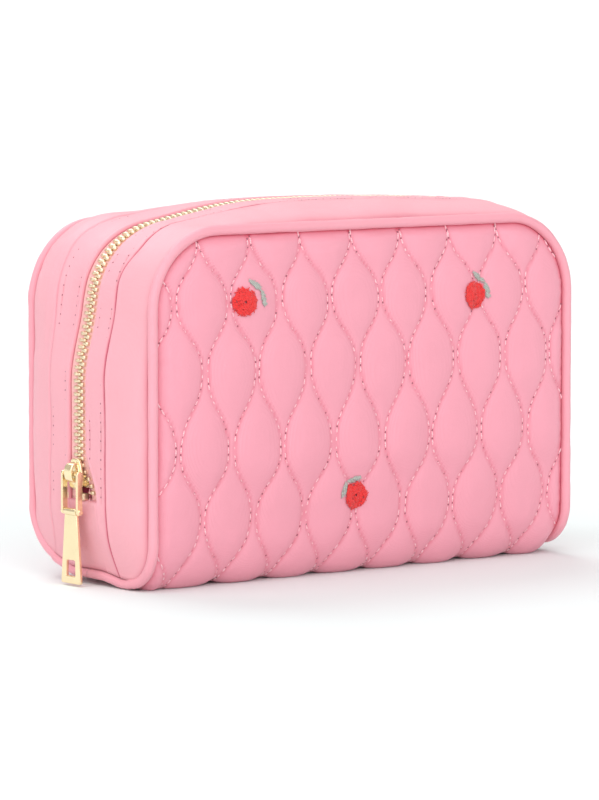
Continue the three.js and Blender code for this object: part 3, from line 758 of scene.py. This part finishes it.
def gusset_band(side):
    """The outer strip of the gusset, from the piping to the long seam, right round both ends."""
    path = gusset_path(END_LIFT + 1.2, 1.5)
    outer = end_half_width(path["z"])[:, None] + 0.6
    inner = np.minimum(seam_line(path, side), outer[:, 0] - 1.5)[:, None]
    t = np.concatenate([np.linspace(0, 0.9, 22), [0.925, 0.945, 0.962, 0.976, 0.988, 1.0]])[None, :]
    y = side * (outer + (inner - outer) * t)
    from_piping = np.abs(outer) - np.abs(y)
    from_seam = np.abs(y) - inner
    level = bulge(y)
    ridge = 0.35 * hump(from_seam - 1.2, 1.1)
    firmness = FIRMNESS[side]
    roll = -1.5 * firmness * fade(from_seam, 0.3)
    tuck = -2.2 * fade(from_piping, 1.5)
    grid = place(path, y, level)
    soft = wander(grid * (1, 0.6, 1), 22, 2 + side) * 0.55 + wander(grid * (1, 0.4, 1), 8, 4 + side) * 0.14
    pinch = wander(grid * (1, 0.25, 1), 3.4, 6 + side) * 0.16 * fade(from_piping, 6)
    calm = smooth_step(from_piping / 3) * smooth_step(from_seam / 3)
    grid = place(path, y, level + ridge + roll + tuck + soft * calm + pinch * calm)
    # Painted shade along the long seam and down beside the piping.
    seam_shade = firmness * fade(from_seam, 0.35)
    seam_shade = seam_shade + 0.9 * fade(from_piping - 1, 0.9)
    return side_sheet("gusset_strip", side, grid, 0.9, BAND, np.clip(seam_shade, 0, 1))


def slit_opening(path):
    """How far the front folded edge stands back from the parted teeth below the slider."""
    on_left = path["x"] < -HALF_LENGTH + 1
    return np.where(on_left, 7.3 * smooth_step((57 - path["z"]) / 21) ** 0.8, 0.0)


def zip_facing(side):
    """The strip beside the teeth: a folded edge, two rows of topstitching and the long seam."""
    path = gusset_path(END_LIFT + 1.2, 1.4)
    fold = np.full((len(path["x"]), 1), FOLD_EDGE_Y[side])
    if side < 0:
        fold = fold + slit_opening(path)[:, None]
    outer = np.minimum(seam_line(path, side) + 0.6, end_half_width(path["z"]) - 0.6)[:, None]
    open_zip = smooth_step((path["z"] - 18) / (SPLIT_Z - 18))[:, None]
    t = np.concatenate([[0, 0.02, 0.05], np.linspace(0.1, 0.9, 22), [0.93, 0.955, 0.975, 0.99, 1.0]])[None, :]
    y = side * (outer + (fold - outer) * t)
    from_fold = np.abs(y) - fold
    from_seam = outer - 0.6 - np.abs(y)
    level = bulge(y) + 0.25
    roll = -1.3 * fade(from_fold, 0.35) + 0.3 * hump(from_fold - 1.1, 0.9)
    roll = roll * open_zip
    firmness = FIRMNESS[side]
    dip = -1.3 * firmness * fade(from_seam + 0.4, 0.45)
    rows = sum(-0.05 * hump(np.abs(y) - row, 0.7) for row in STITCH_ROWS[side])
    flat = place(path, y, level)
    soft = wander(flat * (1, 0.6, 1), 15, 12 + side) * 0.22
    puckers = wander(flat * (1, 0.25, 1), 2.6, 14 + side) * 0.09
    grid = place(path, y, level + roll + dip + rows + (soft + puckers) * smooth_step(from_fold / 2))
    # Painted shade along the long seam and, where the zip opens, along the folded edge.
    seam_shade = firmness * fade(from_seam, 0.4)
    seam_shade = seam_shade + 0.6 * open_zip * fade(from_fold, 0.3)
    return side_sheet("facing_strip", side, grid, 0.8, BAND, np.clip(seam_shade, 0, 1))


# How far the end's cloth steps back to pass behind the teeth.
BEHIND_TEETH = 5.2


def end_cloth(name, way):
    """The middle of one end of the gusset, from its foot up to behind the parted teeth."""
    behind_teeth = SPLIT_Z + np.array([0.5, 1, 1.6, 2.4, 4, 8, 14])
    z = np.concatenate([np.linspace(END_LIFT + 1.2, SPLIT_Z, 30), behind_teeth])
    none = np.zeros(len(z))
    path = {
        "x": none + way * HALF_LENGTH, "z": z, "out_x": none + way, "out_z": none, "swell": none,
        "hollow": none, "full": fullness(z), "d": z,
    }
    front = FOLD_EDGE_Y[-1] + slit_opening(path)[:, None] + 0.7
    back = FOLD_EDGE_Y[1] + 0.9
    t = np.linspace(0, 1, 34)[None, :]
    y = (back + front) * t - front
    from_side = np.minimum(y + front, back - y)
    drop = BEHIND_TEETH * smooth_step((z - SPLIT_Z) / 2.4)[:, None]
    level = bulge(y) + 0.42 - 0.5 * np.exp(-from_side / 0.6) - drop
    flat = place(path, y, level)
    hollow = 0.8 * smooth_step(from_side / 6) * smooth_step((z[:, None] - 8) / 12)
    level = level + wander(flat, 11, 21 + way) * 0.3 * smooth_step(from_side / 3) - hollow
    # Painted shade where the cloth steps back behind the parted teeth, and at its foot.
    seam_shade = 0.9 * smooth_step((z - SPLIT_Z) / 2)[:, None] + 0.5 * np.exp(-(z[:, None] - z[0]) / 1.4)
    grid = place(path, y, level)
    if way > 0:
        grid, seam_shade = grid[:, ::-1], seam_shade[:, ::-1]
    seam_shade = np.clip(seam_shade + 0 * y, 0, 1)
    return add_sheet(name, grid, 0.8, BAND, seam_shade)


def row_frames(path, y):
    """Points along one row of topstitching, with axes along it, across it and out of the gusset."""
    points = place(path, y, bulge(y) + 0.1)[:, 0]
    along = unit(np.gradient(points, axis=0))
    out = np.stack([path["out_x"], 0 * path["d"], path["out_z"]], axis=1)
    out = out - along * (out * along).sum(1, keepdims=True)
    return points, along, np.cross(out, along), out


def topstitching(side):
    """Two rows of stitches along the facing, and dark dots of painted shade at their needle holes."""
    name = SIDE_NAMES[side]
    path = gusset_path(SPLIT_Z + 1, 3.9)
    rows = [row_frames(path, np.full((1, 1), side * row)) for row in STITCH_ROWS[side]]
    points, along, across, out = (np.concatenate(v) for v in zip(*rows))
    thread = scatter(f"{name}_topstitch_thread", STITCH, points, along * 2.4, across * 0.2, out * 0.1, BAND)
    halfway = points + along * 1.95
    # Painted shade: a dark dot at each needle hole.
    shade_dots = scatter(
        f"{name}_topstitch_hole_shade", SHADE_DOT, halfway + out * 0.02, along * 0.8, across * 0.4, out * 0.5, NEEDLE_SHADE,
    )
    return thread, shade_dots


# ---- Piping ----


def corner_cord(way, side, low_margin):
    """The piping round one lower corner of an end, from below to upright."""
    angle = np.linspace(low_margin, math.pi / 2, 18)[:, None]
    return np.concatenate([
        np.full_like(angle, way * HALF_LENGTH),
        side * (FOLD_Y + (HALF_DEPTH - FOLD_Y) * np.sin(angle)),
        FOLD_Z - (FOLD_Z - END_LIFT) * np.cos(angle),
    ], axis=1)


def upright_cord(side):
    path = gusset_path(FOLD_Z + 2, 2.0)
    return np.stack([path["x"], np.full(len(path["x"]), side * HALF_DEPTH), path["z"]], axis=1)


def add_piping(name, points):
    """A fabric-covered cord, slightly uneven where the cloth is eased round the corners."""
    points = slouch(points)
    points[:, 2] = np.maximum(points[:, 2], PIPING_RADIUS + 0.2)
    radii = PIPING_RADIUS + 0.1 * wander(points, 9, 31) + 0.05 * wander(points, 3, 33)
    return add_tube(name, points, radii, 16, CORD)


def piping_foot(way, low_y, high_y):
    """The piping along the bottom of one end, lowest near the front."""
    y = np.linspace(low_y, high_y, 24)[:, None]
    z = END_LIFT - 1.0 - 0.4 * hump(y + 22, 14)
    return np.concatenate([np.full_like(y, way * HALF_LENGTH), y, z], axis=1)


# Where the two cords meet under each end.
PIPING_JOIN_Y = 2.0


def piping(side):
    """One wall's whole cord, from the middle of the left foot round to that of the right."""
    left, right = (
        np.concatenate([piping_foot(way, PIPING_JOIN_Y, side * (FOLD_Y - 1.0)), corner_cord(way, side, 0.05)])
        for way in (-1, 1)
    )
    path = np.concatenate([left, upright_cord(side), right[::-1]])
    return add_piping(f"{SIDE_NAMES[side]}_piping_cord", path)


# ---- Zip ----

# One tooth, from the clamped leg to the head that locks with the other row: x across the zip
# towards the centre line, y along it, z out of it.
TOOTH = lathe_shape(
    [(-3.2, 0.55, 0.9, 0), (-3.0, 0.82, 1.2, 0), (-1.5, 0.84, 1.3, 0), (-1.1, 0.62, 1.25, 0),
     (-0.45, 0.48, 1.15, 0), (0.05, 0.66, 1.1, 0), (0.55, 0.62, 0.95, 0), (0.8, 0.4, 0.6, 0)],
    12,
    0.45,
)


# Height of the lowest tooth, and how far each row is parted below the slider.
TEETH_FOOT_Z = 39.4
PARTED = {-1: 6.2, 1: 1.2}


def parting(path, side):
    """How far a row is off the centre line where the slider has parted it."""
    on_left = path["x"] < -HALF_LENGTH + 1
    return np.where(on_left, PARTED[side] * smooth_step((51.5 - path["z"]) / 12.5), 0.0)


def teeth(side):
    path = gusset_path(TEETH_FOOT_Z + (TOOTH_PITCH / 2 if side > 0 else 0), TOOTH_PITCH)
    count = len(path["x"])
    pushed = parting(path, side)
    level = TOOTH_LEVEL + (path["swell"] - path["hollow"]) * BULGE - 0.25 * np.minimum(pushed, 4)
    origins = np.stack([
        path["x"] + path["out_x"] * level, side * pushed, path["z"] + path["out_z"] * level,
    ], axis=1)
    out = np.stack([path["out_x"], np.zeros(count), path["out_z"]], axis=1)
    inward = np.tile([0.0, -side, 0.0], (count, 1))
    along = np.cross(out, inward)
    return scatter(f"{SIDE_NAMES[side]}_zip_teeth", TOOTH, origins, inward, along, out, TEETH_BRASS)


def zip_tape(side):
    path = gusset_path(SPLIT_Z + 0.2, 2.2)
    pushed = parting(path, side)[:, None]
    y = side * (np.linspace(0.35, 11.0, 10)[None, :] + pushed)
    grid = place(path, y, np.full_like(y, 6.1) - 0.25 * np.minimum(pushed, 4))
    return side_sheet("tape", side, grid[:, ::-1], 0.6, TAPE, None)


# ---- Metal parts on the left end ----
#
# Flat shapes are drawn in (Y, Z) and stand out of the left end by a level.


def end_matrix(level):
    """Places a shape drawn in its own (x, y), with its thickness along z, on the left end."""
    turn = Matrix(((0, 0, -1, 0), (-1, 0, 0, 0), (0, 1, 0, 0), (0, 0, 0, 1)))
    return Matrix.Translation((-HALF_LENGTH - level, 0, 0)) @ turn


def side_matrix(y):
    """Places a shape drawn in (level, Z), with its thickness along Y."""
    turn = Matrix(((-1, 0, 0, 0), (0, 0, 1, 0), (0, 1, 0, 0), (0, 0, 0, 1)))
    return Matrix.Translation((-HALF_LENGTH, y, 0)) @ turn


def add_plate(name, outlines, thickness, bevel, matrix, material):
    """A plate with rounded edges from closed outlines in millimetres, the first one the outside."""
    data = bpy.data.curves.new(name, "CURVE")
    data.dimensions = "2D"
    data.fill_mode = "BOTH"
    data.extrude = thickness / 2 - bevel
    data.bevel_depth = bevel
    data.bevel_resolution = 3
    data.offset = -bevel
    for outline in outlines:
        spline = data.splines.new("POLY")
        spline.points.add(len(outline) - 1)
        for point, (x, y) in zip(spline.points, outline):
            point.co = (x, y, 0, 1)
        spline.use_cyclic_u = True
    drawing = put_in_scene(name + "_drawing", data)
    bpy.context.view_layer.update()
    mesh = bpy.data.meshes.new_from_object(drawing.evaluated_get(bpy.context.evaluated_depsgraph_get()))
    bpy.data.objects.remove(drawing)
    mesh.transform(Matrix.Scale(MM, 4) @ matrix)
    if matrix.determinant() < 0:
        mesh.flip_normals()
    mesh.name = name
    mesh.materials.clear()
    mesh.materials.append(material)
    mesh.polygons.foreach_set("use_smooth", [True] * len(mesh.polygons))
    mesh.set_sharp_from_angle(angle=math.radians(35))
    return put_in_scene(name, mesh)


def rounded(points, radius, steps=5):
    """A polygon's outline with each corner rounded; radius is one number or one a corner."""
    radii = [radius] * len(points) if isinstance(radius, (int, float)) else radius
    outline = []
    for i, corner in enumerate(points):
        corner = np.array(corner, float)
        before = np.array(points[i - 1], float) - corner
        after = np.array(points[(i + 1) % len(points)], float) - corner
        cut = min(radii[i], np.linalg.norm(before) * 0.49, np.linalg.norm(after) * 0.49)
        start = corner + before / np.linalg.norm(before) * cut
        end = corner + after / np.linalg.norm(after) * cut
        for t in np.linspace(0, 1, steps):
            outline.append((1 - t) ** 2 * start + 2 * t * (1 - t) * corner + t ** 2 * end)
    return outline


# The slider's two wings lie above and below the teeth. The pull hangs at PULL_LEVEL from the bar
# under the crown, and the tab from the pin.
SLIDER_LOW = 41.0
SLIDER_HIGH = 53.5
UPPER_WING = 8.45
LOWER_WING = 3.75
PULL_LEVEL = 10.8
BAR_Z = 47.1
PIN_Z = 31.3


def wing_outline(margin):
    half = 4.8 - margin
    low, high = SLIDER_LOW + margin, SLIDER_HIGH - margin
    points = [(-half * 0.86, low), (half * 0.86, low), (half, low + 3.4), (half * 0.98, low + 6),
              (half * 0.6, high), (-half * 0.6, high), (-half * 0.98, low + 6), (-half, low + 3.4)]
    return rounded(points, [1.6, 1.6, 2.4, 3, 1.8, 1.8, 3, 2.4])


def join(name, pieces):
    """Makes one piece of several."""
    bpy.ops.object.select_all(action="DESELECT")
    for piece in pieces:
        piece.select_set(True)
    bpy.context.view_layer.objects.active = pieces[0]
    bpy.ops.object.join()
    pieces[0].name = name
    return pieces[0]


def slider_body():
    upper = add_plate("slider_upper", [wing_outline(0)], 1.3, 0.45, end_matrix(UPPER_WING), GOLD)
    raised = add_plate("slider_raised", [wing_outline(1.3)], 0.7, 0.3, end_matrix(UPPER_WING + 0.8), GOLD)
    lower = add_plate("slider_lower", [wing_outline(0)], 1.3, 0.45, end_matrix(LOWER_WING), GOLD)
    wedge = rounded([(0, 41.5), (0.6, 43), (0, 46.5), (-0.6, 43)], 0.3)
    post = add_plate("slider_wedge", [wedge], 5.2, 0.1, end_matrix(6.1), GOLD)
    return join("slider", [upper, raised, lower, post])


def slider_crown():
    """The arched bridge over the connector's bar."""
    angle = np.linspace(0, math.pi, 15)
    arch = [(9.0 + 4.1 * math.sin(a) ** 0.6, BAR_Z + 0.6 + 4.2 * math.cos(a)) for a in angle]
    inner = [(8.9 + 3.1 * math.sin(a) ** 0.6, BAR_Z + 0.6 + 3.2 * math.cos(a)) for a in angle[::-1]]
    return add_plate("slider_bridge", [arch + inner], 5.0, 0.4, side_matrix(0), GOLD)


def disc(centre, radius, steps=28):
    turns = np.linspace(0, 2 * math.pi, steps, endpoint=False)
    return [(centre[0] + radius * math.cos(a), centre[1] + radius * math.sin(a)) for a in turns]


def connector():
    half = 1.4
    angle = np.linspace(0, math.pi, 12)
    top = [(PULL_LEVEL + half * math.cos(a), BAR_Z + half * math.sin(a)) for a in angle]
    foot = [(PULL_LEVEL + half * math.cos(a + math.pi), PIN_Z + half * math.sin(a + math.pi)) for a in angle]
    parts = [
        add_plate(f"prong_{i}", [top + foot], 1.3, 0.3, side_matrix(y), GOLD)
        for i, y in enumerate((-5.35, 5.35))
    ]
    parts.append(add_plate("bar", [disc((PULL_LEVEL, BAR_Z), 0.9)], 10.2, 0.1, side_matrix(0), GOLD))
    parts.append(add_plate("pin", [disc((PULL_LEVEL, PIN_Z), 0.8)], 12.4, 0.2, side_matrix(0), GOLD))
    for y in (-6.2, 6.2):
        parts.append(add_plate("pin_head", [disc((PULL_LEVEL, PIN_Z), 1.2)], 0.9, 0.3, side_matrix(y), GOLD))
    return join("pull_link", parts)


def tab():
    """The tapered plate with its slot, and the knuckle that turns on the pin."""
    low, top = 1.0, 30.3
    outline = rounded([(-6.9, low), (6.9, low), (4.2, top), (-4.2, top)], [1.2, 1.2, 0.5, 0.5])
    slot = rounded([(-3.3, 4.3), (3.3, 4.3), (3.1, 10.9), (-3.1, 10.9)], 0.5)
    plate = add_plate("tab_plate", [outline, slot], 1.6, 0.4, end_matrix(PULL_LEVEL), GOLD)
    knuckle = add_plate(
        "tab_knuckle", [disc((PULL_LEVEL, PIN_Z), 1.5), disc((PULL_LEVEL, PIN_Z), 0.92)], 8.6, 0.2,
        side_matrix(0), GOLD,
    )
    return join("pull_tab_plate", [plate, knuckle])


def stop_clamp(name, way, low_y, high_y):
    """A folded metal stop at the foot of the teeth."""
    outline = rounded([(low_y, 36.0), (high_y, 36.0), (high_y, 39.0), (low_y, 39.0)], 0.6)
    matrix = end_matrix(6.2)
    if way > 0:
        matrix = Matrix.Scale(-1, 4, (1, 0, 0)) @ matrix
    return add_plate(name, [outline], 2.9, 0.5, matrix, TEETH_BRASS)


# ---- Embroidered flowers ----

# Each flower: its place on the front wall, then each leaf's offset from the bloom and its turn.
FLOWERS = (
    (-68.4, 119.5, ((5.5, 6.9, -0.56), (9.6, 1.2, -1.24))),
    (56.7, 116.9, ((2.6, 7.7, -0.67), (6.8, 2.0, -1.26))),
    (-7.2, 34.0, ((-1.4, 7.1, 0.22), (-6.9, 2.8, 1.17))),
)
BLOOM_RADIUS = 5.6


def thread_strokes(name, x, z, turns, lengths, lifts, radius, material):
    """Satin stitches on the front wall, each a short thread lying at its own angle."""
    s = WALL_START + z - FOLD_Z
    middle, along, across, out = surface_frames(x, s, (np.cos(turns), np.sin(turns)))
    return scatter(
        name, STITCH, middle + out * lifts[:, None], along * lengths[:, None], across * radius,
        out * radius, material,
    )


def bloom(name, x, z, rng):
    """A round flower of short threads, fuller in the middle, with a ragged rim."""
    count = 330
    ring = BLOOM_RADIUS * np.sqrt(rng.random(count))
    angle = rng.random(count) * 2 * math.pi
    swirl = angle + math.pi / 2 + rng.normal(0, 0.55, count)
    lifts = 0.4 + 0.75 * (1 - (ring / BLOOM_RADIUS) ** 2) + rng.random(count) * 0.25
    lengths = 2.0 + rng.random(count) * 1.3
    return thread_strokes(
        name, x + ring * np.cos(angle), z + ring * np.sin(angle), swirl, lengths, lifts, 0.24, RED_THREAD,
    )


def leaf(name, x, z, turn, rng):
    count = 64
    t = np.linspace(-1, 1, count)
    half_width = 1.5 * np.sqrt(np.clip(1 - t ** 2, 0.05, 1))
    across = rng.random(count) * 2 - 1
    u = 3.1 * t
    v = across * half_width * 0.7
    px = x + u * math.cos(turn) - v * math.sin(turn)
    pz = z + u * math.sin(turn) + v * math.cos(turn)
    lean = turn + 0.7 * np.sign(v) + rng.normal(0, 0.15, count)
    lifts = 0.2 + rng.random(count) * 0.35
    return thread_strokes(name, px, pz, lean, 1.5 + rng.random(count) * 0.6, lifts, 0.2, GREY_THREAD)


# ---- Lining ----


# How far inside the outer cloth the lining hangs, at its edge and over its face.
LINING_INSET = 3.4
LINING_DEPTH = 5.5


def lining_sheet(side):
    """The plain cloth inside a wall and the bottom, slightly slack."""
    x, s = sheet_grid(-side * SPLIT_S, 4.0, 60, LINING_INSET, 16)
    base, out = sheet_base(x, -side * s)
    slack = wander(base, 19, 41) * 0.5
    grid = base - out * (LINING_DEPTH + slack)[..., None]
    grid = grid[::-1] if side < 0 else grid
    name = SIDE_NAMES[side]
    return add_sheet(f"{name}_lining_cloth", grid, 0.5, LINING, None)


def gusset_lining(side):
    path = gusset_path(END_LIFT + 3.5, 4.0)
    outer = end_half_width(path["z"])[:, None] - 3.0
    t = np.linspace(0, 1, 12)[None, :]
    inner = np.where(path["z"][:, None] < SPLIT_Z, 0.3, 9.5)
    y = side * (outer + (inner - outer) * t)
    level = bulge(y) - 3.6 + 0 * outer
    grid = place(path, y, level)
    return side_sheet("gusset_lining_cloth", side, grid, 0.5, LINING, None)


# ---- Assembly ----


def settle(piece, body, slot, *nodes):
    """Attaches a piece to its body and hides the CAD nodes that it stands for.

    The front's pieces are not attached to a body; their transform is baked in place.
    """
    if body == "bag_front":
        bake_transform(piece)
    else:
        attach(piece, body)
    if nodes:
        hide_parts(*nodes)
    return piece


def build_quilting():
    nodes = {
        -1: ("front_quilted_shell", "front_fold_shell", "front_wadding", "front_fold_wadding"),
        1: ("back_quilted_shell", "bottom_quilted_shell", "back_wadding", "bottom_wadding"),
    }
    for side, body in SIDE_BODIES.items():
        settle(quilt(side), body, "satin", *nodes[side])
    for side, body in SIDE_BODIES.items():
        for piece in quilt_stitches(side):
            settle(piece, body, "satin")


def build_gusset():
    corners = {-1: ("left_corner_gusset", "right_corner_gusset"), 1: ()}
    for side, body in SIDE_BODIES.items():
        settle(gusset_band(side), body, "gussetSatin", f"{SIDE_NAMES[side]}_gusset_band", *corners[side])
    for side, body in SIDE_BODIES.items():
        settle(zip_facing(side), body, "gussetSatin", f"{SIDE_NAMES[side]}_zip_facing")
    for name, way in (("left", -1), ("right", 1)):
        settle(end_cloth(f"{name}_end_cloth", way), "bag_back", "gussetSatin", f"{name}_end_gusset")
    for side, body in SIDE_BODIES.items():
        for piece in topstitching(side):
            settle(piece, body, "gussetSatin")


def build_piping():
    corners = {-1: ("left_corner_piping", "right_corner_piping"), 1: ()}
    for side, body in SIDE_BODIES.items():
        settle(piping(side), body, "pipingSatin", f"{SIDE_NAMES[side]}_piping", *corners[side])


def build_zip():
    for side, body in SIDE_BODIES.items():
        settle(teeth(side), body, "brass", f"{SIDE_NAMES[side]}_teeth_row")
    for side, body in SIDE_BODIES.items():
        settle(zip_tape(side), body, "tape", f"{SIDE_NAMES[side]}_zip_tape")
    settle(stop_clamp("front_stop_clamp", -1, -10.2, -7.0), "bag_front", "brass", "front_top_stop")
    settle(stop_clamp("back_stop_clamp", -1, 1.0, 4.2), "bag_back", "brass", "back_top_stop")
    settle(stop_clamp("bottom_stop_clamp", 1, -3.2, 3.2), "bag_back", "brass", "bottom_stop")


def build_slider():
    settle(slider_body(), "zip_slider", "brass", "slider_body")
    settle(slider_crown(), "zip_slider", "brass", "slider_crown")
    settle(connector(), "pull_connector", "brass", "pull_connector")
    settle(tab(), "pull_tab", "brass", "pull_tab")


def build_flowers():
    rng = np.random.default_rng(11)
    for number, (x, z, leaves) in enumerate(FLOWERS, start=1):
        for i, (offset_x, offset_z, turn) in enumerate(leaves, start=1):
            piece = leaf(f"embroidered_leaf_{number}_{i}", x + offset_x, z + offset_z, turn, rng)
            settle(piece, "bag_front", "leafThread", f"flower_{number}_leaf_{i}")
        piece = bloom(f"embroidered_bloom_{number}", x, z, rng)
        settle(piece, "bag_front", "bloomThread", f"flower_{number}_bloom")


def build_lining():
    settle(lining_sheet(-1), "bag_front", "lining", "front_lining", "front_fold_lining")
    settle(lining_sheet(1), "bag_back", "lining", "back_lining", "bottom_lining")
    settle(gusset_lining(-1), "bag_front", "lining", "front_gusset_lining")
    ends = ("left_end_lining", "right_end_lining")
    settle(gusset_lining(1), "bag_back", "lining", "back_gusset_lining", *ends)


def add_floor():
    """A wide plain floor whose rim rises like a studio backdrop, far behind the bag."""
    profile = ((0.5, 0.0), (8.0, 0.0), (10.5, 0.1), (12.5, 0.45), (14.0, 1.05), (15.0, 1.9))
    steps = 96
    turns = np.linspace(0, 2 * math.pi, steps, endpoint=False)
    rings = [
        np.stack([radius * np.cos(turns), radius * np.sin(turns), np.full(steps, height)], axis=1)
        for radius, height in profile
    ]
    index = np.arange(len(profile) * steps).reshape(len(profile), steps)
    following = np.roll(index, -1, axis=1)
    quads = np.stack([index[:-1], index[1:], following[1:], following[:-1]], axis=2).reshape(-1, 4)
    points = np.concatenate(rings) / MM
    link_mesh("floor", points, [index[0].tolist()] + quads.tolist(), floor_material())


def add_lamp(name, direction, strength, spread):
    """A broad, distant studio lamp shining from a direction."""
    data = bpy.data.lights.new(name, "SUN")
    data.energy = strength
    data.angle = math.radians(spread)
    lamp = put_in_scene(name, data)
    lamp.rotation_euler = Vector(direction).to_track_quat("Z", "Y").to_euler()


def add_studio():
    scene = bpy.context.scene
    scene.view_settings.view_transform = "Standard"
    world = bpy.data.worlds.new("studio")
    world.use_nodes = True
    world.node_tree.nodes["Background"].inputs[0].default_value = (1, 1, 1, 1)
    world.node_tree.nodes["Background"].inputs[1].default_value = 0.5
    scene.world = world
    add_lamp("key", (-1.0, -0.5, 1.0), 1.9, 90)
    add_lamp("back", (0.2, 0.9, 1.2), 1.3, 38)
    add_lamp("fill", (-0.2, -1.0, 0.35), 1.1, 60)


build_quilting()
build_gusset()
build_piping()
build_zip()
build_slider()
build_flowers()
build_lining()
add_floor()
add_studio()
